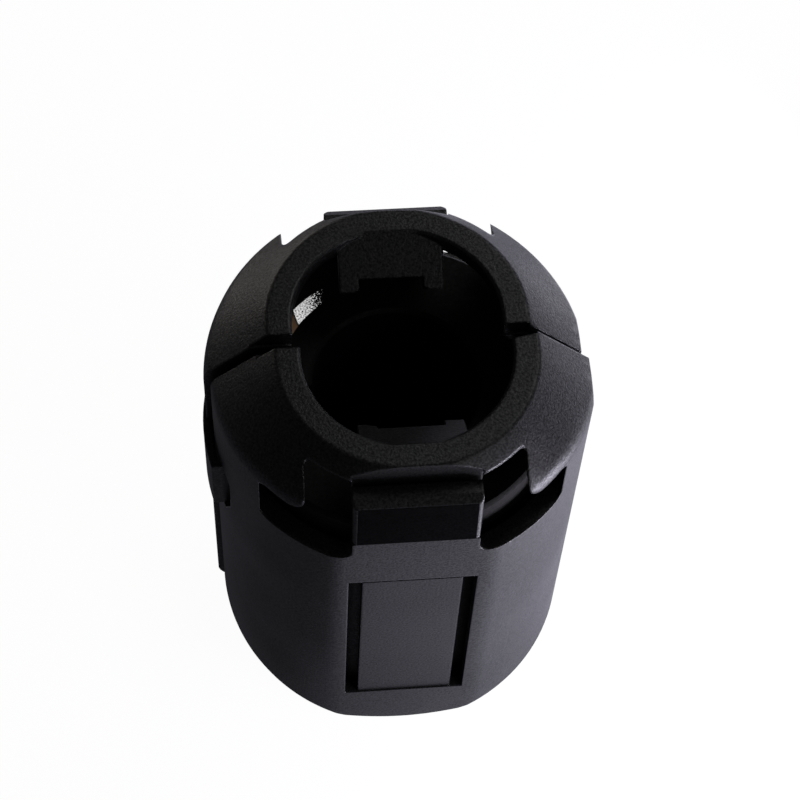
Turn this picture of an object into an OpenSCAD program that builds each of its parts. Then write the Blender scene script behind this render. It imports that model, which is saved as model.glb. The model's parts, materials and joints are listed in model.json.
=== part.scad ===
// Clip-on ferrite bead: a round two-piece ferrite core in a hinged, snap-shut plastic case.
// Axes: Z runs along the cable, Y from the front half (-Y) to the rear half (+Y), hinge at +X.
// The origin is the middle of the cable bore, and the case stands on its lower collars.

/* [Case] */
// Radius of the round case wall
case_r = 14.75; // [14.65:0.05:15.2]
// Length of the case over both collars
case_length = 44; // [42:0.5:54]
// Thickness of the round case wall
wall = 1.6; // [1.4:0.05:1.65]
// How far the flats at the front and the rear lie inside the round wall
flat_inset = 1.3; // [1.05:0.05:1.4]
// Thickness of the wall behind the flats
flat_wall = 1.1; // [0.9:0.05:1.25]
// Radius of the rounding between shoulder and round wall
shoulder_round = 2.2; // [1.4:0.1:3]
// Radius of the rounding between a flat and the round wall
flat_round = 3; // [1:0.25:5]

/* [Collars] */
// Outer radius of a collar half at its face
collar_r = 9.85; // [9.7:0.05:10.1]
// Inner radius of a collar half
opening_r = 7.9; // [7.5:0.1:8.2]
// Distance of a collar half's centre from the parting plane
collar_offset = 1.45; // [1:0.05:1.8]
// Height of the straight inner wall of a collar
collar_depth = 1.4; // [1:0.1:2]
// Width of the bevels along a collar's edges
collar_bevel = 0.2; // [0.1:0.05:0.3]
// How far the ends of the rear collars stand back from the parting face
rear_relief = 0.2; // [0.1:0.05:0.3]
// How far the ends of the front collars stand back from the parting face
front_relief = 0.35; // [0.25:0.05:0.5]
// How far the front collars' end on the hinge side is skewed at either edge
front_skew = 0.2; // [0.1:0.05:0.25]

/* [Middle tabs] */
// Width of the tab between the two windows of a shoulder
tab_width = 9.6; // [8:0.2:10.4]
// Depth of the tab's end face below the collar face
tab_depth = 2.2; // [1.8:0.1:2.6]
// How much lower the end face lies at its outer edge
tab_drop = 0.45; // [0.2:0.05:0.8]
// Distance from the flat to the line where the end face starts to drop
tab_fall = 0.95; // [0.7:0.05:1.3]
// Depth of the tab's foot, where it meets the flat
tab_foot = 7.75; // [7:0.05:8.2]
// How far the tab's end face leans back from the flat
tab_lean = 0.3; // [0.1:0.05:0.6]
// Distance from the flat to the groove behind the tab
tab_thick = 2.05; // [1.8:0.05:2.1]
// Radius of the rounding along the tab's upright edges
tab_round = 0.4; // [0.2:0.05:0.6]
// Width of the groove behind the tab
groove_width = 0.2; // [0.15:0.05:0.4]
// Depth of the groove below the tab's end face
groove_depth = 1; // [0.4:0.1:1.4]

/* [Shoulder windows] */
// Distance from the mid plane to the far end of a window
window_reach = 11.5; // [11:0.1:11.8]
// Depth of a window's lower edge below the collar face
window_foot = 9.7; // [9:0.1:10.4]
// Distance from the mid plane to the side of the tall part of a window
notch_reach = 8.2; // [7.8:0.05:8.5]
// Depth of the notch's top edge below the collar face
notch_head = 1.3; // [1.2:0.05:1.6]
// Depth of the lower edge of the tooth that hangs into a window
tooth_depth = 4.45; // [4.2:0.05:4.8]
// Corner radius of a window's outline
window_round = 0.65; // [0.4:0.05:0.8]
// Radius of the tooth's inner corner
tooth_round = 1.4; // [1:0.1:1.6]

/* [Spring panels] */
// Distance from the mid plane to the inner side of a panel slot
slot_reach = 3.9; // [3.4:0.1:4.2]
// Width of a panel slot
slot_width = 1.1; // [0.8:0.05:1.3]
// Distance from the collar face to the upper end of the slots
slot_start = 14.2; // [13:0.1:15]
// Length of the panel slots
slot_length = 21.7; // [18:0.1:22]
// How far the panel lies below the flat
panel_step = 0.15; // [0.1:0.05:0.3]
// Height of the witness line across the panel's upper end
panel_line = 0.18; // [0.1:0.02:0.3]
// Depth of the witness line below the flat
panel_line_depth = 0.4; // [0.35:0.05:0.6]

/* [Cable tongues] */
// Width of a cable tongue
tongue_width = 8; // [7:0.1:9]
// Slope of a tongue from the collar face down towards the cable
tongue_slope = 41; // [36:1:46]
// Thickness of a tongue
tongue_thick = 1.2; // [0.9:0.1:1.5]
// Length of a tongue along its slope
tongue_length = 3.7; // [3:0.1:4]
// How far the prongs at a tongue's corners reach past its edge
prong_length = 1; // [0.5:0.1:1.2]
// Width of a prong
prong_width = 1.5; // [1:0.1:2]

/* [Ferrite core] */
// Radius of the core's cable bore
bore_r = 6.5; // [6:0.1:6.6]
// Clearance between the core and the round case wall
core_clearance = 0.5; // [0.5:0.05:0.6]
// Clearance between the core's flats and the case
core_flat_clearance = 0.2; // [0.1:0.05:0.4]
// Clearance between each end of the core and the shoulder
core_end_clearance = 0.4; // [0.2:0.05:0.8]
// Chamfer along the core's edges
core_chamfer = 0.3; // [0.2:0.05:0.4]
// Distance of a core half's ground face from the parting plane
core_gap = 0.03; // [0.02:0.01:0.06]
// How far the front core has shifted towards the latches
core_drift = 0.45; // [0.4:0.01:0.47]

/* [Latch] */
// Height of the latch strap
strap_height = 6; // [5:0.1:7]
// Distance from the collar face to the upper edge of the strap
strap_start = 12; // [11:0.1:12.6]
// How far the strap stands proud of the case
strap_proud = 0.3; // [0.2:0.05:0.4]
// Thickness of the strap
strap_thick = 0.7; // [0.6:0.05:0.8]
// How far the strap reaches past the parting plane
strap_reach = 3.9; // [3.6:0.05:4.2]
// Length of the strap's root on the rear half
strap_root = 3.2; // [2.4:0.1:4]
// Height of the hook on the strap's inner face
hook_height = 0.9; // [0.8:0.05:0.95]
// Length of the hook
hook_length = 0.6; // [0.4:0.05:0.65]
// Distance from the parting plane to the edge that the hook catches
catch_reach = 3.1; // [2.7:0.05:3.2]
// Length of the pocket that the hook drops into
catch_length = 2.3; // [2.1:0.05:2.6]
// Clearance between the strap and the front half
strap_clearance = 0.1; // [0.05:0.05:0.2]

/* [Hinge and fit] */
// How far the lands beside the hinge lie inside the round wall
hinge_inset = 0.55; // [0.45:0.05:0.75]
// Thickness of the film hinge
film_thick = 0.45; // [0.3:0.05:0.6]
// Distance from the collar face to each end of the film hinge
film_start = 9.5; // [8.5:0.5:12]
// Gap between each half's parting face and the parting plane
parting_gap = 0.3; // [0.2:0.01:0.35]
// Sideways slip of the front half towards the hinge
front_slip = 0.5; // [0.45:0.01:0.52]

/* [Hidden] */
$fn = 96;

half_length = case_length / 2;
// Longer than the case in any direction, for cuts that pass right through
far = 2 * case_length;

flat_reach = case_r - flat_inset;
hinge_land = case_r - hinge_inset;
groove_end = flat_reach - tab_thick;
groove_reach = groove_end - groove_width;

// The cavity follows the case wall at its thickness
cavity_r = case_r - wall;
cavity_flat = flat_reach - flat_wall;
// Depth at which the cone inside the shoulder reaches the cavity's wall
inner_cone_depth = collar_depth + cavity_r - opening_r;

// Top of a tongue, the way down its slope and the way through its thickness, in Y and depth
tongue_top = [collar_offset + opening_r, 0];
tongue_down = [-cos(tongue_slope), sin(tongue_slope)];
tongue_through = tongue_thick * [sin(tongue_slope), cos(tongue_slope)];

core_r = cavity_r - core_clearance;
core_flat = cavity_flat - core_flat_clearance;
core_half_length = half_length - inner_cone_depth - core_end_clearance;

strap_outer = case_r + strap_proud;
strap_inner = strap_outer - strap_thick;
strap_low = half_length - strap_start - strap_height;
slot_low = half_length - slot_start - slot_length;

plastic_colour = [0.16, 0.16, 0.17];
ferrite_colour = [0.3, 0.28, 0.27];

// Draws the same thing at the upper and the lower end
module both_ends() {
    children();
    mirror([0, 0, 1]) children();
}

// Draws the same thing on either side of the mid plane
module both_sides() {
    children();
    mirror([1, 0, 0]) children();
}

// Box of a given X and Z reach that runs from one Y to another
module box(x, y, z) {
    translate([x[0], y[0], z[0]]) cube([x[1] - x[0], y[1] - y[0], z[1] - z[0]]);
}

// Profile in Y and depth below the collar face, drawn across the mid plane
module across(width, points) {
    translate([-width / 2, 0, half_length]) rotate([90, 0, 90])
        linear_extrude(width) polygon([for (p = points) [p[0], -p[1]]]);
}

// Puts a front piece where it rests: across the parting plane, slipped towards the hinge
module front_rest() {
    translate([front_slip, 0, 0]) mirror([0, 1, 0]) children();
}

// One band of the shoulder: a cone of the given slope that touches the shoulder's rounding.
// The steeper the band, the closer its axis lies to the case's own.
module shoulder_band(slope) {
    lean = 1 / tan(slope);
    round_centre_r = case_r - shoulder_round;
    round_centre_depth = case_r - collar_r + shoulder_round * (sqrt(2) - 1);
    touch_r = round_centre_r + shoulder_round * sin(slope);
    touch_depth = round_centre_depth - shoulder_round * cos(slope);
    face_r = touch_r - touch_depth * lean;
    foot_depth = round_centre_depth + shoulder_round;
    foot_r = face_r + foot_depth * lean;
    translate([0, collar_offset * lean, 0]) rotate_extrude() polygon([
        [0, -half_length], [face_r, -half_length], [foot_r, foot_depth - half_length],
        [foot_r, half_length - foot_depth], [face_r, half_length], [0, half_length]]);
}

// Bevel between the shoulder and the collar face
module collar_edge() {
    bevel_depth = collar_bevel * sin(45);
    spread = case_r + collar_offset;
    translate([0, collar_offset, 0]) rotate_extrude() polygon([
        [0, -half_length], [collar_r - collar_bevel, -half_length],
        [collar_r + bevel_depth, bevel_depth - half_length], [spread, bevel_depth - half_length],
        [spread, half_length - bevel_depth], [collar_r + bevel_depth, half_length - bevel_depth],
        [collar_r - collar_bevel, half_length], [0, half_length]]);
}

// Outside of one half before anything is cut from it
module outer_form() {
    intersection() {
        cylinder(r = case_r, h = case_length, center = true);
        shoulder_band(45);
        shoulder_band(60);
        shoulder_band(75);
        collar_edge();
        box([-far, hinge_land], [parting_gap, flat_reach], [-far, far]);
        rounded_flat();
    }
}

// Everything inwards of the roundings that join the flat to the round wall
module rounded_flat() {
    round_y = flat_reach - flat_round;
    round_x = sqrt(pow(case_r - flat_round, 2) - pow(round_y, 2));
    linear_extrude(far, center = true) {
        translate([-far, -far]) square([2 * far, far + round_y]);
        translate([-round_x, 0]) square([2 * round_x, far]);
        for (side = [-1, 1]) {
            translate([side * round_x, round_y]) circle(flat_round);
            polygon([[side * round_x, round_y], [side * far, round_y],
                [side * far, far * round_y / round_x]]);
        }
    }
}

// Inside of one half: collar opening, shoulder cone and core space
module inner_form() {
    cone_reach = cavity_r + collar_offset;
    cone_depth = collar_depth + cone_reach - opening_r;
    intersection() {
        translate([0, collar_offset, 0]) rotate_extrude() polygon([
            [0, -far], [opening_r, -far], [opening_r, collar_depth - half_length],
            [cone_reach, cone_depth - half_length], [cone_reach, half_length - cone_depth],
            [opening_r, half_length - collar_depth], [opening_r, far], [0, far]]);
        cylinder(r = cavity_r, h = far, center = true);
        box([-far, far], [-far, cavity_flat], [-far, far]);
    }
    // The opening's sides run straight to the parting plane
    box([-opening_r, opening_r], [-far, collar_offset], [-far, far]);
}

// Bevel around the opening at one collar face
module opening_edge() {
    translate([0, collar_offset, half_length - collar_bevel])
        cylinder(r1 = opening_r, r2 = opening_r + 2 * collar_bevel, h = 2 * collar_bevel);
}

// What is cut away around the middle tab: the groove behind it and all above and before it
module around_tab() {
    tab_edge = tab_depth + tab_drop;
    groove_foot = tab_depth + groove_depth;
    across(tab_width, [[groove_reach, -1], [flat_reach + 1, -1], [flat_reach + 1, tab_foot],
        [flat_reach, tab_foot], [flat_reach - tab_lean, tab_edge],
        [flat_reach - tab_fall, tab_depth], [groove_end, tab_depth],
        [groove_end, groove_foot], [groove_reach, groove_foot]]);
    // Rounding of the upright edges, which lean back with the tab's face
    translate([0, flat_reach, half_length - tab_foot])
        rotate([atan(tab_lean / (tab_foot - tab_edge)), 0, 0]) both_sides()
            linear_extrude(tab_foot) rounded_corner([tab_width / 2, 0], [-1, -1], tab_round);
}

// Corner of a window's outline, rounded by a circle that lies inwards of it
module rounded_corner(corner, inwards, radius) {
    difference() {
        translate(corner) square(2 * radius, center = true);
        translate(corner + radius * inwards) circle(radius);
    }
}

// Outline of a window, drawn with X away from the mid plane and Y down from the collar face
module window_outline() {
    difference() {
        union() {
            translate([0, notch_head]) square([notch_reach, window_foot - notch_head]);
            translate([0, tooth_depth]) square([window_reach, window_foot - tooth_depth]);
            translate([0, tooth_depth - tooth_round]) square([notch_reach + tooth_round, tooth_round]);
        }
        translate([0, notch_head - 1]) square([tab_width / 2, window_foot]);
        translate([notch_reach + tooth_round, tooth_depth - tooth_round]) circle(tooth_round);
        rounded_corner([notch_reach, notch_head], [-1, 1], window_round);
        rounded_corner([window_reach, tooth_depth], [-1, 1], window_round);
        rounded_corner([window_reach, window_foot], [-1, -1], window_round);
        rounded_corner([tab_width / 2, window_foot], [1, -1], window_round);
    }
}

// Window in the shoulder beside the tab, cut outwards from the axis
module window() {
    translate([0, 0, half_length]) rotate([90, 0, 180]) linear_extrude(far)
        rotate(180) window_outline();
}

// Step that sinks the spring panel below the flat, its witness line, and the slots at its sides
module panel_cuts() {
    panel_side = slot_reach + slot_width;
    slot_top = slot_low + slot_length;
    box([-panel_side, panel_side], [flat_reach - panel_line_depth, far], [slot_top - panel_line, slot_top]);
    box([-panel_side, panel_side], [flat_reach - panel_step, far], [slot_low, slot_top]);
    both_sides() box([slot_reach, panel_side], [parting_gap, far], [slot_low, slot_top]);
}

// Tongue with a prong at either corner, trimmed around the cable, whose axis may lie to one side
module tongue(cable_x) {
    reach = tongue_length + prong_length;
    notch_end = tongue_length + 2 * prong_length;
    root = [collar_bevel, 0];
    difference() {
        across(tongue_width, [tongue_top + root, tongue_top, tongue_top + reach * tongue_down,
            tongue_top + reach * tongue_down + tongue_through, tongue_top + tongue_through]);
        across(tongue_width - 2 * prong_width, [tongue_top + tongue_length * tongue_down - tongue_through,
            tongue_top + tongue_length * tongue_down + 2 * tongue_through,
            tongue_top + notch_end * tongue_down + 2 * tongue_through,
            tongue_top + notch_end * tongue_down - tongue_through]);
        translate([cable_x, 0, 0]) cylinder(r = bore_r, h = far, center = true);
    }
}

// One half of the case as both halves share it, drawn on the rear side
module case_half(cable_x) {
    difference() {
        outer_form();
        inner_form();
        both_ends() opening_edge();
        around_tab();
        both_sides() window();
        panel_cuts();
    }
    both_ends() tongue(cable_x);
}

// One half of the ferrite core, drawn on the rear side
module core_half() {
    end = core_half_length;
    bevel = core_chamfer;
    difference() {
        intersection() {
            rotate_extrude() polygon([[bore_r + bevel, -end], [core_r - bevel, -end],
                [core_r, bevel - end], [core_r, end - bevel], [core_r - bevel, end],
                [bore_r + bevel, end], [bore_r, end - bevel], [bore_r, bevel - end]]);
            box([-far, far], [core_gap, core_flat], [-far, far]);
        }
        both_sides() translate([bore_r, core_gap, 0]) rotate([0, 0, 45])
            cube([bevel * sqrt(2), bevel * sqrt(2), far], center = true);
    }
}

// Ring sector on the latch side between two radii, from one Y to another
module strap_band(inner, outer, y, z) {
    intersection() {
        difference() {
            cylinder(r = outer, h = far, center = true);
            cylinder(r = inner, h = far, center = true);
        }
        box([-far, 0], y, z);
    }
}

// Seat of the strap's root in the rear half
module strap_seat() {
    strap_band(strap_inner, far, [-1, strap_root], [strap_low, strap_low + strap_height]);
}

// Land under the strap and pocket for its hook, cut from the front half
module strap_catch() {
    low = strap_low - strap_clearance;
    top = strap_low + strap_height + strap_clearance;
    pocket_end = catch_reach + catch_length;
    taper = catch_length / 2;
    strap_band(strap_inner - strap_clearance, far, [-1, catch_reach], [low, top]);
    translate([-far, 0, 0]) rotate([90, 0, 90]) linear_extrude(far)
        polygon([[catch_reach, low], [pocket_end - taper, low], [pocket_end, low + 2 * taper],
            [pocket_end, top - taper / 2], [pocket_end - taper / 2, top], [catch_reach, top]]);
}

// Sets the ends of a collar back from the parting face, with the hinge side's end skewed
module collar_set_back(relief, skew) {
    back = parting_gap + relief;
    translate([0, 0, half_length - collar_depth]) linear_extrude(far) {
        polygon([[-case_r, -1], [0, -1], [0, back], [-case_r, back]]);
        polygon([[0, -1], [collar_r, -1], [collar_r, back - skew], [opening_r, back + skew],
            [0, back + skew]]);
    }
}

module rear_shell() {
    color(plastic_colour) difference() {
        case_half(0);
        strap_seat();
        both_ends() collar_set_back(rear_relief, 0);
    }
}

module front_shell() {
    color(plastic_colour) front_rest() difference() {
        case_half(-front_slip);
        strap_catch();
        both_ends() collar_set_back(front_relief, front_skew);
    }
}

module rear_core() {
    color(ferrite_colour) core_half();
}

module front_core() {
    color(ferrite_colour) front_rest() translate([-core_drift, 0, 0]) core_half();
}

// Latch strap: its root lies on the rear half, its hook reaches into the front half's pocket
module latch_strap() {
    top = strap_low + strap_height;
    color(plastic_colour) {
        strap_band(strap_inner, strap_outer, [-strap_reach, strap_root], [strap_low, top]);
        strap_band(strap_inner - hook_height, strap_inner, [-strap_reach, hook_length - strap_reach],
            [strap_low, top]);
    }
}

// Thin web that joins the two hinge lands, and steps from one to the other in the parting gap
module film_hinge() {
    film_end = half_length - film_start;
    front_land = hinge_land + front_slip;
    seat = 3 * film_thick;
    color(plastic_colour) translate([0, 0, -film_end]) linear_extrude(2 * film_end) polygon([
        [hinge_land, seat], [hinge_land + film_thick, seat],
        [hinge_land + film_thick, parting_gap], [front_land + film_thick, -parting_gap],
        [front_land + film_thick, -seat], [front_land, -seat],
        [front_land, -parting_gap], [hinge_land, parting_gap]]);
}

rear_shell();
front_shell();
rear_core();
front_core();
latch_strap();
film_hinge();
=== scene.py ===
"""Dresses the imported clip-on ferrite bead: case halves, fired cores, latch and film hinge."""

import json
import logging
import math
from dataclasses import dataclass, field
from enum import Enum
from typing import Any

import bmesh
import bpy
from mathutils import Matrix, Vector

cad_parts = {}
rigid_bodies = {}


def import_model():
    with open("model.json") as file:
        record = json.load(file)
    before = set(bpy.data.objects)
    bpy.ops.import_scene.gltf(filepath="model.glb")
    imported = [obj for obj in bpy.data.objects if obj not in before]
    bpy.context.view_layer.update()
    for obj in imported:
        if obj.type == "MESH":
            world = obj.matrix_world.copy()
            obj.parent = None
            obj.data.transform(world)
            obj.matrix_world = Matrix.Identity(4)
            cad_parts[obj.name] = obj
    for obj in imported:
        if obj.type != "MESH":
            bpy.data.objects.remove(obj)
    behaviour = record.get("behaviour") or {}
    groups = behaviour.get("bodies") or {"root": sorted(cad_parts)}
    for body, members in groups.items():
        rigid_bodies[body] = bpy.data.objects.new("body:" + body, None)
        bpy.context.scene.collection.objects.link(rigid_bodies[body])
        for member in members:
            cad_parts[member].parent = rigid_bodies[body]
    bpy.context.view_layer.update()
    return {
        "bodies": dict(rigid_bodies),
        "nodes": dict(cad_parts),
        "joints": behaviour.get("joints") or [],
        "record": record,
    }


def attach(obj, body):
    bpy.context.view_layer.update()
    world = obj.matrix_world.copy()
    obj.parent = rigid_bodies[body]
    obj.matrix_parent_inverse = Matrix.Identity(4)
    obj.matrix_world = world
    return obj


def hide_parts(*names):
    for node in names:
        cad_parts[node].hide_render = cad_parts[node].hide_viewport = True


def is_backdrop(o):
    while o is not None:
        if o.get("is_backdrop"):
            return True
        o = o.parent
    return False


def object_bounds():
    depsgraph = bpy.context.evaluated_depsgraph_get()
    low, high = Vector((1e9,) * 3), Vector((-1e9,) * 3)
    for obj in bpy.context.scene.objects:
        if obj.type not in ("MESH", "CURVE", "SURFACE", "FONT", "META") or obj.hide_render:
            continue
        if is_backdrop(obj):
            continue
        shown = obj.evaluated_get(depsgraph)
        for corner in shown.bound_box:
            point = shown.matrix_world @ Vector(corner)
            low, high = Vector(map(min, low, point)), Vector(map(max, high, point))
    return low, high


MM = 0.001
# Further than any part of the bead reaches, in metres
FAR = 1.0
WHITE = (1.0, 1.0, 1.0, 1.0)
LOG = logging.getLogger("ferrite_bead")

Span = tuple[float, float]


class Slot(Enum):
    """Material slots of the part's record."""

    PLASTIC = "case_plastic"
    FERRITE = "ferrite"


class Body(Enum):
    """Bodies that the case hinge joins."""

    REAR = "rear_half"
    FRONT = "front_half"


class MixKind(Enum):
    """Data types of a mix node, each with the ending of its sockets' identifiers."""

    FLOAT = "Float"
    VECTOR = "Vector"
    RGBA = "Color"


def linear(hex_colour: str) -> tuple[float, float, float, float]:
    """Turns an sRGB colour into the linear one that shaders take.

    Args:
        hex_colour: Six hex digits.

    Returns:
        The linear colour with an alpha of 1.
    """
    channels = [int(hex_colour[i : i + 2], 16) / 255 for i in (0, 2, 4)]
    straight = [c / 12.92 if c <= 0.04045 else ((c + 0.055) / 1.055) ** 2.4 for c in channels]
    return (straight[0], straight[1], straight[2], 1.0)


def add_node(
    tree: bpy.types.NodeTree,
    kind: str,
    settings: dict[str, Any] | None = None,
    inputs: dict[Any, Any] | None = None,
    links: dict[Any, bpy.types.NodeSocket] | None = None,
) -> bpy.types.Node:
    """Adds a node to a tree, with its settings, its values and its incoming links.

    Args:
        tree: The node tree that takes the node.
        kind: The node's type name.
        settings: Attributes to set on the node.
        inputs: Values by input name or number.
        links: Output sockets to join, by input name or number.

    Returns:
        The new node.
    """
    node = tree.nodes.new(kind)
    for name, value in (settings or {}).items():
        setattr(node, name, value)
    for key, value in (inputs or {}).items():
        node.inputs[key].default_value = value
    for key, socket in (links or {}).items():
        tree.links.new(socket, node.inputs[key])
    return node


def fresh_material(name: str) -> tuple[bpy.types.Material, bpy.types.NodeTree]:
    """Makes an empty node material.

    Args:
        name: The material's name.

    Returns:
        The material and its node tree.
    """
    material = bpy.data.materials.new(name)
    material.use_nodes = True
    material.node_tree.nodes.clear()
    return material, material.node_tree


@dataclass(frozen=True)
class MouldedNylon:
    """Black nylon from a spark-eroded mould: matte, with a fine even grain and soft highlights."""

    name: str = "moulded_black_nylon"
    pigment: str = "0c0c0d"
    worn_pigment: str = "151516"
    ior: float = 1.53
    gloss: Span = (0.38, 0.48)
    grain_mm: float = 0.19
    grain_depth_mm: float = 0.036
    grain_detail: float = 3.0
    grain_roughness: float = 0.65
    grain_span: Span = (0.35, 0.65)
    flow_mm: float = 9.0
    flow_detail: float = 2.0
    flow_span: Span = (0.3, 0.7)
    level: float = 0.5
    level_spread: float = 0.5
    edge_mm: float = 0.22
    edge_samples: int = 6
    edge_turn: Span = (0.85, 0.99)
    edge_gloss: float = 0.3

    def build(self) -> bpy.types.Material:
        """Builds the material.

        Returns:
            The finished material.
        """
        material, tree = fresh_material(self.name)
        place = add_node(tree, "ShaderNodeTexCoord").outputs["Object"]
        # The pits that spark erosion leaves in the mould break every highlight into specks. Real
        # ones are a few hundredths of a millimetre wide, so they are drawn coarser, to show
        grain = add_node(
            tree,
            "ShaderNodeTexNoise",
            inputs={
                "Scale": 1 / (self.grain_mm * MM),
                "Detail": self.grain_detail,
                "Roughness": self.grain_roughness,
            },
            links={"Vector": place},
        )
        # Slow change of gloss where the melt flowed and cooled differently
        flow = add_node(
            tree,
            "ShaderNodeTexNoise",
            inputs={"Scale": 1 / (self.flow_mm * MM), "Detail": self.flow_detail},
            links={"Vector": place},
        )
        colour = add_node(
            tree,
            "ShaderNodeMix",
            settings={"data_type": "RGBA"},
            inputs={"A": linear(self.pigment), "B": linear(self.worn_pigment)},
            links={"Factor": grain.outputs["Fac"]},
        )
        gloss = add_node(
            tree,
            "ShaderNodeMapRange",
            inputs={
                "From Min": self.flow_span[0],
                "From Max": self.flow_span[1],
                "To Min": self.gloss[0],
                "To Max": self.gloss[1],
            },
            links={"Value": flow.outputs["Fac"]},
        )
        # The mould's cutter leaves every edge a little round, which draws a thin light line there
        edge = add_node(
            tree,
            "ShaderNodeBevel",
            settings={"samples": self.edge_samples},
            inputs={"Radius": self.edge_mm * MM},
        )
        # Handling burnishes the edges, so they glint: where the rounded normal leaves the bare one
        bare = add_node(tree, "ShaderNodeNewGeometry").outputs["Normal"]
        turned = add_node(
            tree,
            "ShaderNodeVectorMath",
            settings={"operation": "DOT_PRODUCT"},
            links={0: edge.outputs["Normal"], 1: bare},
        )
        burnish = add_node(
            tree,
            "ShaderNodeMapRange",
            inputs={
                "From Min": self.edge_turn[0],
                "From Max": self.edge_turn[1],
                "To Min": self.edge_gloss,
            },
            links={"Value": turned.outputs["Value"]},
        )
        sheen = add_node(
            tree,
            "ShaderNodeMath",
            settings={"operation": "MULTIPLY"},
            links={0: gloss.outputs["Result"], 1: burnish.outputs["Result"]},
        )
        bump = add_node(
            tree,
            "ShaderNodeBump",
            inputs={"Strength": 1.0, "Distance": self.grain_depth_mm * MM},
            links={"Height": grain.outputs["Fac"], "Normal": edge.outputs["Normal"]},
        )
        # Deep pits trap light and high spots return it, as a dry fine speckle
        speckle = add_node(
            tree,
            "ShaderNodeMapRange",
            inputs={
                "From Min": self.grain_span[0],
                "From Max": self.grain_span[1],
                "To Min": self.level * (1 - self.level_spread),
                "To Max": self.level * (1 + self.level_spread),
            },
            links={"Value": grain.outputs["Fac"]},
        )
        # The level's own value stands in for its pattern where only plain values are kept
        skin = add_node(
            tree,
            "ShaderNodeBsdfPrincipled",
            inputs={"IOR": self.ior, "Metallic": 0.0, "Specular IOR Level": self.level},
            links={
                "Base Color": colour.outputs["Result"],
                "Roughness": sheen.outputs[0],
                "Specular IOR Level": speckle.outputs["Result"],
                "Normal": bump.outputs["Normal"],
            },
        )
        add_node(tree, "ShaderNodeOutputMaterial", links={"Surface": skin.outputs["BSDF"]})
        return material


@dataclass(frozen=True)
class GroundStreak:
    """Bare spot on the end of a core where the grinding wheel has left a bright tilted facet.

    Its sides are circles round the bead's axis, and its ends are bearings from that axis. The
    brown mark is placed by the bearing past the far end.
    """

    inner_mm: float = 9.05
    outer_mm: float = 10.35
    side_soft_mm: float = 0.08
    from_deg: float = 121.0
    to_deg: float = 140.5
    end_soft_rad: float = 0.02
    slant_deg_per_mm: float = 4.0
    fade_deg: float = 11.0
    fade_lift: Span = (-0.3, 0.03)
    speck_mm: float = 0.13
    speck_detail: float = 2.0
    speck_span: Span = (0.3, 0.42)
    mottle_span: Span = (0.35, 0.65)
    mottle: Span = (0.5, 1.5)
    mark_rad: Span = (-0.01, 0.1)
    mark_soft_rad: float = 0.015
    mark_tone: str = "f4c49a"
    tilt: tuple[float, float, float] = (0.304, -0.564, 0.767)
    gloss: float = 0.17


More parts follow.
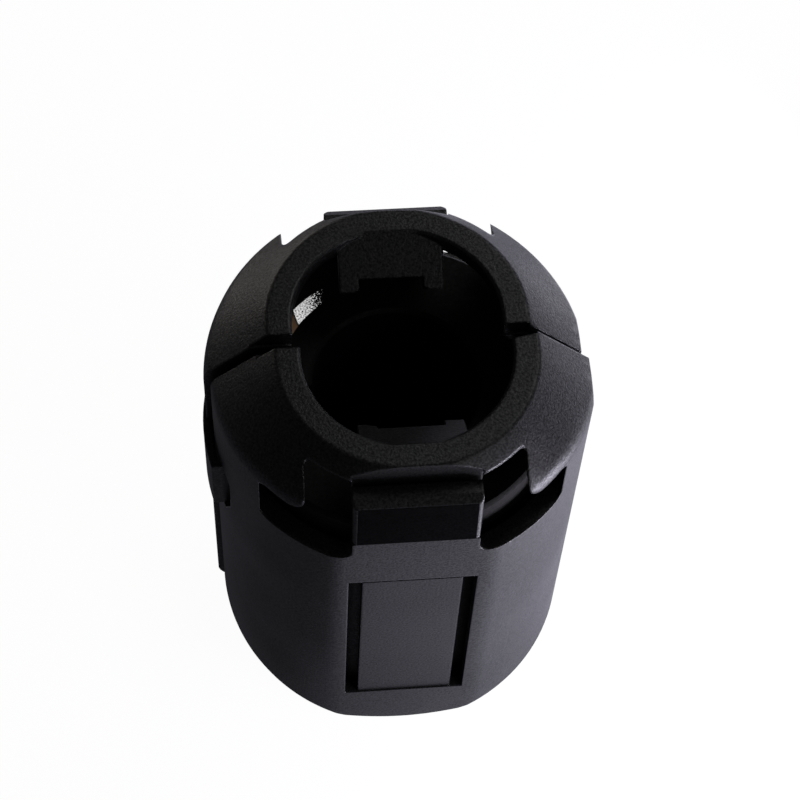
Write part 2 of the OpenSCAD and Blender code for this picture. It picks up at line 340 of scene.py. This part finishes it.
@dataclass(frozen=True)
class FiredFerrite:
    """Nickel-zinc ferrite as it leaves the kiln: a dull, nearly black ceramic with a dry grain."""

    name: str = "fired_ferrite"
    body_tone: str = "070606"
    rust_tone: str = "0f0b08"
    ior: float = 2.3
    level: float = 0.05
    gloss: Span = (0.55, 0.75)
    grit_mm: float = 0.3
    grit_depth_mm: float = 0.02
    grit_detail: float = 4.0
    grit_roughness: float = 0.7
    grit_span: Span = (0.35, 0.65)
    stain_mm: float = 4.0
    stain_detail: float = 3.0
    streak: GroundStreak | None = None

    def build(self) -> bpy.types.Material:
        """Builds the material.

        Returns:
            The finished material.
        """
        material, tree = fresh_material(self.name)
        place = add_node(tree, "ShaderNodeTexCoord").outputs["Object"]
        # Pressed powder grains, sintered together, give a dry broken sheen. Real ones are far
        # finer, so they are drawn as coarse as it takes to show
        grit = add_node(
            tree,
            "ShaderNodeTexNoise",
            inputs={
                "Scale": 1 / (self.grit_mm * MM),
                "Detail": self.grit_detail,
                "Roughness": self.grit_roughness,
            },
            links={"Vector": place},
        )
        # Brownish patches from the kiln's air
        stain = add_node(
            tree,
            "ShaderNodeTexNoise",
            inputs={"Scale": 1 / (self.stain_mm * MM), "Detail": self.stain_detail},
            links={"Vector": place},
        )
        colour = add_node(
            tree,
            "ShaderNodeMix",
            settings={"data_type": "RGBA"},
            inputs={"A": linear(self.body_tone), "B": linear(self.rust_tone)},
            links={"Factor": stain.outputs["Fac"]},
        )
        gloss = add_node(
            tree,
            "ShaderNodeMapRange",
            inputs={
                "From Min": self.grit_span[0],
                "From Max": self.grit_span[1],
                "To Min": self.gloss[0],
                "To Max": self.gloss[1],
            },
            links={"Value": grit.outputs["Fac"]},
        )
        bump = add_node(
            tree,
            "ShaderNodeBump",
            inputs={"Strength": 1.0, "Distance": self.grit_depth_mm * MM},
            links={"Height": grit.outputs["Fac"]},
        )
        skin = add_node(
            tree,
            "ShaderNodeBsdfPrincipled",
            inputs={"IOR": self.ior, "Metallic": 0.0, "Specular IOR Level": self.level},
            links={
                "Base Color": colour.outputs["Result"],
                "Roughness": gloss.outputs["Result"],
                "Normal": bump.outputs["Normal"],
            },
        )
        if self.streak:
            self.grind(tree, skin, place)
        add_node(tree, "ShaderNodeOutputMaterial", links={"Surface": skin.outputs["BSDF"]})
        return material

    def grind(
        self,
        tree: bpy.types.NodeTree,
        skin: bpy.types.Node,
        place: bpy.types.NodeSocket,
    ) -> None:
        """Lays the bright streak, and the brown mark at its end, over the upper end of a core.

        Args:
            tree: The material's node tree.
            skin: The shader node that takes the streak.
            place: The socket with the object's own coordinates.
        """
        streak = self.streak
        axes = add_node(tree, "ShaderNodeSeparateXYZ", links={0: place}).outputs
        flat = add_node(
            tree, "ShaderNodeCombineXYZ", links={0: axes["X"], 1: axes["Y"]}
        ).outputs[0]
        radius = add_node(
            tree, "ShaderNodeVectorMath", settings={"operation": "LENGTH"}, links={0: flat}
        ).outputs["Value"]
        angle = add_node(
            tree,
            "ShaderNodeMath",
            settings={"operation": "ARCTAN2"},
            links={0: axes["Y"], 1: axes["X"]},
        ).outputs[0]
        # The wheel passed at a slant, so the bearing is turned a little with the radius
        slant = math.radians(streak.slant_deg_per_mm) / MM
        middle = (streak.inner_mm + streak.outer_mm) / 2 * MM
        bearing = add_node(
            tree,
            "ShaderNodeMath",
            settings={"operation": "MULTIPLY_ADD"},
            inputs={1: slant},
            links={0: radius, 2: angle},
        ).outputs[0]
        low = math.radians(streak.from_deg) + slant * middle
        high = math.radians(streak.to_deg) + slant * middle
        scratch = add_node(
            tree,
            "ShaderNodeTexNoise",
            inputs={"Scale": 1 / (streak.speck_mm * MM), "Detail": streak.speck_detail},
            links={"Vector": place},
        ).outputs["Fac"]
        # The wheel lifts off towards the near end, so the bright facet breaks up into specks there
        lift = add_node(
            tree,
            "ShaderNodeMapRange",
            inputs={
                "From Min": low,
                "From Max": low + math.radians(streak.fade_deg),
                "To Min": streak.fade_lift[0],
                "To Max": streak.fade_lift[1],
            },
            links={"Value": bearing},
        ).outputs["Result"]
        worn = add_node(
            tree, "ShaderNodeMath", settings={"operation": "ADD"}, links={0: scratch, 1: lift}
        ).outputs[0]
        broken = add_node(
            tree,
            "ShaderNodeMapRange",
            inputs={"From Min": streak.speck_span[0], "From Max": streak.speck_span[1]},
            links={"Value": worn},
        ).outputs["Result"]
        across = self.window(
            tree, radius, streak.inner_mm * MM, streak.outer_mm * MM, streak.side_soft_mm * MM
        )
        along = self.window(tree, bearing, low, high, streak.end_soft_rad)
        above = self.window(tree, axes["Z"], 0.0, FAR, MM)
        mask = self.overlap(tree, across, along, above, broken)
        tilted = add_node(tree, "ShaderNodeCombineXYZ", inputs=dict(enumerate(streak.tilt)))
        mottle = add_node(
            tree,
            "ShaderNodeMapRange",
            inputs={
                "From Min": streak.mottle_span[0],
                "From Max": streak.mottle_span[1],
                "To Min": streak.mottle[0],
                "To Max": streak.mottle[1],
            },
            links={"Value": scratch},
        ).outputs["Result"]
        self.swap(tree, skin, "Normal", MixKind.VECTOR, mask, tilted.outputs[0])
        self.swap(tree, skin, "Roughness", MixKind.FLOAT, mask, streak.gloss)
        self.swap(tree, skin, "Specular IOR Level", MixKind.FLOAT, mask, mottle)
        start, end = (high + past for past in streak.mark_rad)
        beyond = self.window(tree, bearing, start, end, streak.mark_soft_rad)
        mark = self.overlap(tree, across, beyond, above)
        self.swap(tree, skin, "Base Color", MixKind.RGBA, mark, linear(streak.mark_tone))

    @staticmethod
    def overlap(tree: bpy.types.NodeTree, *masks: bpy.types.NodeSocket) -> bpy.types.NodeSocket:
        """Joins masks into one that is 1 only where all of them are.

        Args:
            tree: The material's node tree.
            *masks: The masks' sockets, two or more.

        Returns:
            The joint mask's socket.
        """
        joint = masks[0]
        for mask in masks[1:]:
            joint = add_node(
                tree,
                "ShaderNodeMath",
                settings={"operation": "MULTIPLY"},
                links={0: joint, 1: mask},
            ).outputs[0]
        return joint

    def window(
        self,
        tree: bpy.types.NodeTree,
        value: bpy.types.NodeSocket,
        low: float,
        high: float,
        soft: float,
    ) -> bpy.types.NodeSocket:
        """Makes a mask that is 1 while a value lies between two bounds.

        Args:
            tree: The material's node tree.
            value: The value to test.
            low: The lower bound.
            high: The upper bound.
            soft: Width of the soft edge at either bound.

        Returns:
            The mask's socket.
        """
        rise = add_node(
            tree,
            "ShaderNodeMapRange",
            inputs={"From Min": low, "From Max": low + soft},
            links={"Value": value},
        )
        fall = add_node(
            tree,
            "ShaderNodeMapRange",
            inputs={"From Min": high, "From Max": high - soft},
            links={"Value": value},
        )
        return self.overlap(tree, rise.outputs["Result"], fall.outputs["Result"])

    @staticmethod
    def swap(
        tree: bpy.types.NodeTree,
        skin: bpy.types.Node,
        name: str,
        kind: MixKind,
        mask: bpy.types.NodeSocket,
        new: Any,
    ) -> None:
        """Lets an input of the shader change to another value inside a mask.

        Args:
            tree: The material's node tree.
            skin: The shader node.
            name: The input's name.
            kind: The mix node's data type.
            mask: The mask's socket.
            new: The value inside the mask, or its socket.
        """
        target = skin.inputs[name]
        # The mix node keeps a set of sockets for each data type, told apart by their identifiers
        tail = kind.value
        mix = add_node(tree, "ShaderNodeMix", settings={"data_type": kind.name})
        ports = {port.identifier: port for port in mix.inputs}
        tree.links.new(mask, ports["Factor_Float"])
        if target.is_linked:
            tree.links.new(target.links[0].from_socket, ports["A_" + tail])
        else:
            ports["A_" + tail].default_value = target.default_value
        if isinstance(new, bpy.types.NodeSocket):
            tree.links.new(new, ports["B_" + tail])
        else:
            ports["B_" + tail].default_value = new
        out = next(port for port in mix.outputs if port.identifier == "Result_" + tail)
        tree.links.new(out, target)


@dataclass
class Finishes:
    """The bead's four finishes, built once and shared by its pieces."""

    plastic: bpy.types.Material = field(default_factory=lambda: MouldedNylon().build())
    # The tab's front face: smooth nylon with painted shade, a darker pigment and almost no
    # reflection standing in for the shade on it
    shaded_tab_face: bpy.types.Material = field(
        default_factory=lambda: MouldedNylon(
            name="smooth_nylon_painted_shade",
            pigment="050505",
            worn_pigment="060606",
            gloss=(0.5, 0.55),
            grain_depth_mm=0.002,
            level=0.01,
        ).build()
    )
    ferrite: bpy.types.Material = field(default_factory=lambda: FiredFerrite().build())
    ground_ferrite: bpy.types.Material = field(
        default_factory=lambda: FiredFerrite(
            name="ground_ferrite", streak=GroundStreak()
        ).build()
    )

    def of(self, slot: Slot) -> bpy.types.Material:
        """Returns the material that belongs to a slot."""
        return self.plastic if slot is Slot.PLASTIC else self.ferrite


@dataclass
class SoftEdgedPiece:
    """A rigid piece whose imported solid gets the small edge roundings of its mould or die.

    The clamp holds every rounding to half of the solid's shortest edge. The latch strap and the
    film get theirs in full, the cores about 0.007 mm and the case halves about 0.001 mm, so the
    nylon's bevel node is what draws the soft edges of the case.
    """

    node: str
    body: Body
    slot: Slot
    edge_mm: float
    edge_segments: int = 2
    crease_deg: float = 24.0
    merge_mm: float = 0.002
    flat_deg: float = 0.4
    evenness: int = 80

    def build(self, frame: dict[str, Any], finishes: Finishes) -> bpy.types.Object:
        """Copies the solid, rounds its edges and puts it in the solid's place.

        Args:
            frame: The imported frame.
            finishes: The materials to take the finish from.

        Returns:
            The finished piece.
        """
        title = self.node + "_moulded"
        mesh = frame["nodes"][self.node].data.copy()
        mesh.name = title
        mesh.materials.clear()
        self.weld(mesh)
        rough = bpy.data.objects.new(mesh.name + "_blank", mesh)
        bpy.context.collection.objects.link(rough)
        rounding = rough.modifiers.new("edge_rounding", "BEVEL")
        rounding.width = self.edge_mm * MM
        rounding.segments = self.edge_segments
        rounding.limit_method = "ANGLE"
        rounding.angle_limit = math.radians(self.crease_deg)
        rounding.use_clamp_overlap = True
        evening = rough.modifiers.new("even_shading", "WEIGHTED_NORMAL")
        evening.mode = "FACE_AREA"
        evening.weight = self.evenness
        evening.keep_sharp = False
        bpy.context.view_layer.update()
        graph = bpy.context.evaluated_depsgraph_get()
        rounded = bpy.data.meshes.new_from_object(rough.evaluated_get(graph))
        bpy.data.objects.remove(rough)
        rounded.name = title
        rounded = self.dress(rounded, finishes)
        rounded.name = title
        piece = bpy.data.objects.new(rounded.name, rounded)
        bpy.context.collection.objects.link(piece)
        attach(piece, self.body.value)
        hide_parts(self.node)
        return piece

    def dress(self, mesh: bpy.types.Mesh, finishes: Finishes) -> bpy.types.Mesh:
        """Gives the mesh its finish.

        Args:
            mesh: The rounded mesh.
            finishes: The materials to take the finish from.

        Returns:
            The dressed mesh.
        """
        mesh.materials.append(finishes.of(self.slot))
        return mesh

    def weld(self, mesh: bpy.types.Mesh) -> None:
        """Merges the solid's loose triangles and clears the edges inside its flat faces.

        Args:
            mesh: The copied mesh, changed in place.
        """
        work = bmesh.new()
        work.from_mesh(mesh)
        bmesh.ops.remove_doubles(work, verts=work.verts, dist=self.merge_mm * MM)
        bmesh.ops.dissolve_limit(
            work,
            angle_limit=math.radians(self.flat_deg),
            verts=work.verts,
            edges=work.edges,
        )
        for face in work.faces:
            face.smooth = True
        work.to_mesh(mesh)
        work.free()


@dataclass
class CaseHalf(SoftEdgedPiece):
    """One half of the hinged case with its shoulders, collars, windows, tongues and panel."""

    slot: Slot = Slot.PLASTIC
    edge_mm: float = 0.1
    tab_top_mm: float = 19.4
    tab_foot_mm: float = 14.25
    tab_reach_mm: float = 13.0
    tab_facing: float = 0.99
    line_mm: float = 7.62
    line_band_mm: float = 0.02
    line_side_mm: float = 4.8
    line_extra_mm: float = 0.26

    def weld(self, mesh: bpy.types.Mesh) -> None:
        """Merges the solid and opens the witness line above the spring panel to the eye.

        Args:
            mesh: The copied mesh, changed in place.
        """
        super().weld(mesh)
        for vertex in mesh.vertices:
            x, y, z = vertex.co
            level = abs(z - self.line_mm * MM) < self.line_band_mm * MM
            if level and abs(x) < self.line_side_mm * MM and abs(y) > self.tab_reach_mm * MM:
                vertex.co.z -= self.line_extra_mm * MM

    def dress(self, mesh: bpy.types.Mesh, finishes: Finishes) -> bpy.types.Mesh:
        """Gives the half its grain, and its middle tab the smooth face that the tool leaves,
        darkened with painted shade.

        Args:
            mesh: The rounded mesh.
            finishes: The materials to take the finishes from.

        Returns:
            The dressed mesh.
        """
        mesh = super().dress(mesh, finishes)
        # The tab's front face takes the darker, barely reflecting copy of the nylon: painted shade
        smooth = len(mesh.materials)
        mesh.materials.append(finishes.shaded_tab_face)
        for face in mesh.polygons:
            high = self.tab_foot_mm * MM < face.center.z < self.tab_top_mm * MM
            outside = abs(face.center.y) > self.tab_reach_mm * MM
            if high and outside and abs(face.normal.y) > self.tab_facing:
                face.material_index = smooth
        return mesh


@dataclass(frozen=True)
class SinteredGrains:
    """Rule that strews low grains over a fired surface, coarser than real ones, to show."""

    per_square_mm: float = 0.6
    grain_mm: float = 0.09
    least: tuple[float, float, float] = (0.5, 0.5, 0.15)
    most: tuple[float, float, float] = (1.0, 1.0, 0.3)
    seed: int = 7

    def tree(self, material: bpy.types.Material) -> bpy.types.NodeTree:
        """Builds the geometry node tree.

        Args:
            material: The material that the surface and its grains take.

        Returns:
            The finished tree, with its numbers as named inputs.
        """
        tree = bpy.data.node_groups.new("sintered_grains", "GeometryNodeTree")
        ports = tree.interface
        ports.new_socket("Geometry", in_out="INPUT", socket_type="NodeSocketGeometry")
        for label, kind in (
            ("Grains per square metre", "NodeSocketFloat"),
            ("Grain radius", "NodeSocketFloat"),
            ("Seed", "NodeSocketInt"),
        ):
            ports.new_socket(label, in_out="INPUT", socket_type=kind)
        ports.new_socket("Geometry", in_out="OUTPUT", socket_type="NodeSocketGeometry")
        given = add_node(tree, "NodeGroupInput").outputs
        strewn = add_node(
            tree,
            "GeometryNodeDistributePointsOnFaces",
            links={
                "Mesh": given["Geometry"],
                "Density": given["Grains per square metre"],
                "Seed": given["Seed"],
            },
        )
        grain = add_node(
            tree,
            "GeometryNodeMeshIcoSphere",
            inputs={"Subdivisions": 1},
            links={"Radius": given["Grain radius"]},
        )
        # Every grain has its own width, and stands out by 0.15 to 0.3 of its radius
        size = add_node(
            tree,
            "FunctionNodeRandomValue",
            settings={"data_type": "FLOAT_VECTOR"},
            inputs={0: self.least, 1: self.most},
            links={"Seed": given["Seed"]},
        )
        placed = add_node(
            tree,
            "GeometryNodeInstanceOnPoints",
            links={
                "Points": strewn.outputs["Points"],
                "Instance": grain.outputs["Mesh"],
                "Rotation": strewn.outputs["Rotation"],
                "Scale": size.outputs[0],
            },
        )
        both = add_node(tree, "GeometryNodeJoinGeometry", links={0: given["Geometry"]})
        tree.links.new(placed.outputs["Instances"], both.inputs[0])
        real = add_node(tree, "GeometryNodeRealizeInstances", links={0: both.outputs[0]})
        dressed = add_node(
            tree,
            "GeometryNodeSetMaterial",
            inputs={"Material": material},
            links={"Geometry": real.outputs[0]},
        )
        add_node(tree, "NodeGroupOutput", links={0: dressed.outputs[0]})
        return tree

    def strew(self, mesh: bpy.types.Mesh, material: bpy.types.Material) -> bpy.types.Mesh:
        """Runs the rule on a mesh.

        Args:
            mesh: The smooth mesh, which is used up.
            material: The material for the result.

        Returns:
            A plain mesh with its grains.
        """
        tree = self.tree(material)
        blank = bpy.data.objects.new(mesh.name + "_grains", mesh)
        bpy.context.collection.objects.link(blank)
        rule = blank.modifiers.new("sintered_grains", "NODES")
        rule.node_group = tree
        values = {
            "Grains per square metre": self.per_square_mm / MM**2,
            "Grain radius": self.grain_mm * MM,
            "Seed": self.seed,
        }
        for socket in tree.interface.items_tree:
            if socket.in_out == "INPUT" and socket.name in values:
                rule[socket.identifier] = values[socket.name]
        bpy.context.view_layer.update()
        graph = bpy.context.evaluated_depsgraph_get()
        grained = bpy.data.meshes.new_from_object(blank.evaluated_get(graph))
        bpy.data.objects.remove(blank)
        return grained


@dataclass
class CoreHalf(SoftEdgedPiece):
    """One half of the split ferrite core, with the low grains of its fired skin."""

    slot: Slot = Slot.FERRITE
    edge_mm: float = 0.06
    ground: bool = False
    grains: SinteredGrains = field(default_factory=SinteredGrains)

    def dress(self, mesh: bpy.types.Mesh, finishes: Finishes) -> bpy.types.Mesh:
        """Strews the grains and gives the core its fired finish.

        Args:
            mesh: The rounded mesh.
            finishes: The materials to take the finish from.

        Returns:
            The mesh with its grains.
        """
        material = finishes.ground_ferrite if self.ground else finishes.ferrite
        return self.grains.strew(mesh, material)


@dataclass
class Camera:
    """A camera that stands in front of the bead and looks down at its upper end."""

    stand_mm: tuple[float, float, float] = (-11.89, -88.15, 166.30)
    azimuth_deg: float = 7.94
    elevation_deg: float = 60.0
    roll_deg: float = 3.85
    lens_mm: float = 102.47
    sensor_mm: float = 36.0
    clip_m: Span = (0.01, 10.0)

    def build(self) -> bpy.types.Object:
        """Places the camera and makes it the scene's own.

        Returns:
            The camera object.
        """
        data = bpy.data.cameras.new("view")
        data.lens = self.lens_mm
        data.sensor_width = self.sensor_mm
        data.clip_start, data.clip_end = self.clip_m
        camera = bpy.data.objects.new("view", data)
        bpy.context.collection.objects.link(camera)
        turn = (
            Matrix.Rotation(-math.radians(self.azimuth_deg), 4, "Z")
            @ Matrix.Rotation(math.radians(90 - self.elevation_deg), 4, "X")
            @ Matrix.Rotation(math.radians(self.roll_deg), 4, "Z")
        )
        camera.matrix_world = Matrix.Translation(Vector(self.stand_mm) * MM) @ turn
        bpy.context.scene.camera = camera
        return camera


@dataclass
class SoftLight:
    """A rectangular studio lamp that faces the bead."""

    name: str
    azimuth_deg: float
    elevation_deg: float
    distance_mm: float
    size_mm: Span
    radiance: float
    tint: str = "ffffff"

    def build(self) -> bpy.types.Object:
        """Places the lamp on its arc around the bead.

        Returns:
            The lamp object.
        """
        width, height = (s * MM for s in self.size_mm)
        data = bpy.data.lights.new(self.name, "AREA")
        data.shape = "RECTANGLE"
        data.size = width
        data.size_y = height
        # A one-sided lamp of this radiance gives pi times its area in watts
        data.energy = self.radiance * math.pi * width * height
        data.color = linear(self.tint)[:3]
        lamp = bpy.data.objects.new(self.name, data)
        bpy.context.collection.objects.link(lamp)
        across, up = math.radians(self.azimuth_deg), math.radians(self.elevation_deg)
        towards = Vector(
            (math.sin(across) * math.cos(up), -math.cos(across) * math.cos(up), math.sin(up))
        )
        lamp.location = towards * self.distance_mm * MM
        lamp.rotation_euler = towards.to_track_quat("Z", "Y").to_euler()
        lamp.visible_camera = False
        return lamp


@dataclass
class Studio:
    """Plain pale floor, white surround and soft lamps."""

    floor_reach_mm: float = 900.0
    paper_tone: str = "f2f2f2"
    shadow_share: float = 0.12
    footprint_mm: float = 13.0
    footprint_soft_mm: float = 1.0
    dim_side_mm: float = -13.0
    bright_side_mm: float = 20.0
    dim_share: float = 0.09
    bright_share: float = 1.0
    white_level: float = 1.1
    gloss_tone: str = "eeecff"
    surround: float = 0.03
    backdrop: float = 1.0
    lamps: tuple[SoftLight, ...] = (
        SoftLight(
            "rear_right_softbox",
            azimuth_deg=135,
            elevation_deg=50,
            distance_mm=300,
            size_mm=(150, 150),
            radiance=1.7,
        ),
        SoftLight(
            "right_edge_strip",
            azimuth_deg=115,
            elevation_deg=-6,
            distance_mm=66,
            size_mm=(60, 16),
            radiance=1.8,
            tint="f6f4ff",
        ),
        SoftLight(
            "low_right_strip",
            azimuth_deg=55,
            elevation_deg=-6,
            distance_mm=70,
            size_mm=(50, 16),
            radiance=24.0,
            tint="f1eeff",
        ),
        SoftLight(
            "rear_left_strip",
            azimuth_deg=-150,
            elevation_deg=1,
            distance_mm=300,
            size_mm=(200, 30),
            radiance=4.6,
            tint="fff8f0",
        ),
        SoftLight(
            "opening_spot",
            azimuth_deg=41,
            elevation_deg=38,
            distance_mm=300,
            size_mm=(60, 60),
            radiance=4.0,
        ),
    )

    def build(self) -> None:
        """Builds the floor, the surround and the lamps."""
        self.lay_floor()
        self.wrap_surround()
        for lamp in self.lamps:
            lamp.build()

    def lay_floor(self) -> bpy.types.Object:
        """Lays the floor under the lowest point of the part.

        Returns:
            The floor object.
        """
        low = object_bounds()[0][2]
        reach = self.floor_reach_mm * MM
        mesh = bpy.data.meshes.new("floor")
        corners = [(x * reach, y * reach, low) for x, y in ((-1, -1), (1, -1), (1, 1), (-1, 1))]
        mesh.from_pydata(corners, [], [(0, 1, 2, 3)])
        mesh.materials.append(self.floor_material())
        floor = bpy.data.objects.new("floor", mesh)
        bpy.context.collection.objects.link(floor)
        floor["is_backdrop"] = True
        return floor

    def floor_material(self) -> bpy.types.Material:
        """Builds a floor that is white to the eye, glows with a painted fade in gloss, keeps
        shadows.

        Returns:
            The floor's material.
        """
        material, tree = fresh_material("pale_floor")
        ray = add_node(tree, "ShaderNodeLightPath").outputs
        reflected = add_node(
            tree,
            "ShaderNodeMath",
            settings={"operation": "MAXIMUM"},
            links={0: ray["Is Glossy Ray"], 1: ray["Is Transmission Ray"]},
        )
        # No light comes from the floor that the bead itself covers, so its bore stays dark
        place = add_node(tree, "ShaderNodeTexCoord").outputs["Object"]
        level = add_node(
            tree,
            "ShaderNodeVectorMath",
            settings={"operation": "MULTIPLY"},
            inputs={1: (1.0, 1.0, 0.0)},
            links={0: place},
        )
        radius = add_node(
            tree,
            "ShaderNodeVectorMath",
            settings={"operation": "LENGTH"},
            links={0: level.outputs["Vector"]},
        )
        clear = add_node(
            tree,
            "ShaderNodeMapRange",
            inputs={
                "From Min": self.footprint_mm * MM,
                "From Max": (self.footprint_mm + self.footprint_soft_mm) * MM,
            },
            links={"Value": radius.outputs["Value"]},
        )
        # Painted reflection: in gloss the floor glows white on the right and fades to painted
        # shade on the left
        sideways = add_node(tree, "ShaderNodeSeparateXYZ", links={0: place}).outputs["X"]
        fade = add_node(
            tree,
            "ShaderNodeMapRange",
            inputs={
                "From Min": self.dim_side_mm * MM,
                "From Max": self.bright_side_mm * MM,
                "To Min": self.dim_share,
                "To Max": self.bright_share,
            },
            links={"Value": sideways},
        )
        glow = add_node(
            tree,
            "ShaderNodeMath",
            settings={"operation": "MULTIPLY"},
            links={0: clear.outputs["Result"], 1: fade.outputs["Result"]},
        )
        strength = add_node(
            tree,
            "ShaderNodeMix",
            inputs={"A": self.white_level},
            links={"Factor": reflected.outputs[0], "B": glow.outputs[0]},
        )
        share = add_node(
            tree,
            "ShaderNodeMath",
            settings={"operation": "MULTIPLY_ADD"},
            inputs={1: 1 - self.shadow_share},
            links={0: ray["Is Camera Ray"], 2: reflected.outputs[0]},
        )
        paper = add_node(tree, "ShaderNodeBsdfDiffuse", inputs={"Color": linear(self.paper_tone)})
        # In gloss the glow is tinted faintly lavender, a painted reflection colour
        tone = add_node(
            tree,
            "ShaderNodeMix",
            settings={"data_type": "RGBA"},
            inputs={"A": WHITE, "B": linear(self.gloss_tone)},
            links={"Factor": reflected.outputs[0]},
        )
        white = add_node(
            tree,
            "ShaderNodeEmission",
            links={
                "Color": tone.outputs["Result"],
                "Strength": strength.outputs["Result"],
            },
        )
        mixed = add_node(
            tree,
            "ShaderNodeMixShader",
            links={0: share.outputs[0], 1: paper.outputs[0], 2: white.outputs[0]},
        )
        add_node(tree, "ShaderNodeOutputMaterial", links={"Surface": mixed.outputs[0]})
        return material

    def wrap_surround(self) -> None:
        """Gives the world a low even light, and a white look to the camera."""
        world = bpy.data.worlds.new("studio")
        bpy.context.scene.world = world
        world.use_nodes = True
        tree = world.node_tree
        tree.nodes.clear()
        ray = add_node(tree, "ShaderNodeLightPath").outputs
        dim, bright = (
            add_node(tree, "ShaderNodeBackground", inputs={"Color": WHITE, "Strength": strength})
            for strength in (self.surround, self.backdrop)
        )
        mixed = add_node(
            tree,
            "ShaderNodeMixShader",
            links={0: ray["Is Camera Ray"], 1: dim.outputs[0], 2: bright.outputs[0]},
        )
        add_node(tree, "ShaderNodeOutputWorld", links={"Surface": mixed.outputs[0]})


def dress(frame: dict[str, Any], finishes: Finishes) -> None:
    """Builds every visible piece of the bead in order.

    Args:
        frame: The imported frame.
        finishes: The materials that the pieces share.
    """
    pieces = [
        CaseHalf("rear_shell", Body.REAR),
        CaseHalf("front_shell", Body.FRONT),
        CoreHalf("rear_core", Body.REAR, ground=True),
        CoreHalf("front_core", Body.FRONT),
        SoftEdgedPiece("latch_strap", Body.REAR, Slot.PLASTIC, edge_mm=0.08),
        SoftEdgedPiece("film_hinge", Body.REAR, Slot.PLASTIC, edge_mm=0.06),
    ]
    for piece in pieces:
        built = piece.build(frame, finishes)
        LOG.info("%s: %d faces", built.name, len(built.data.polygons))


def main() -> None:
    """Builds the bead and its studio."""
    logging.basicConfig(level=logging.INFO, format="%(name)s: %(message)s")
    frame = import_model()
    bpy.context.scene.view_settings.view_transform = "Standard"
    Camera().build()
    dress(frame, Finishes())
    Studio().build()


if __name__ == "__main__":
    main()
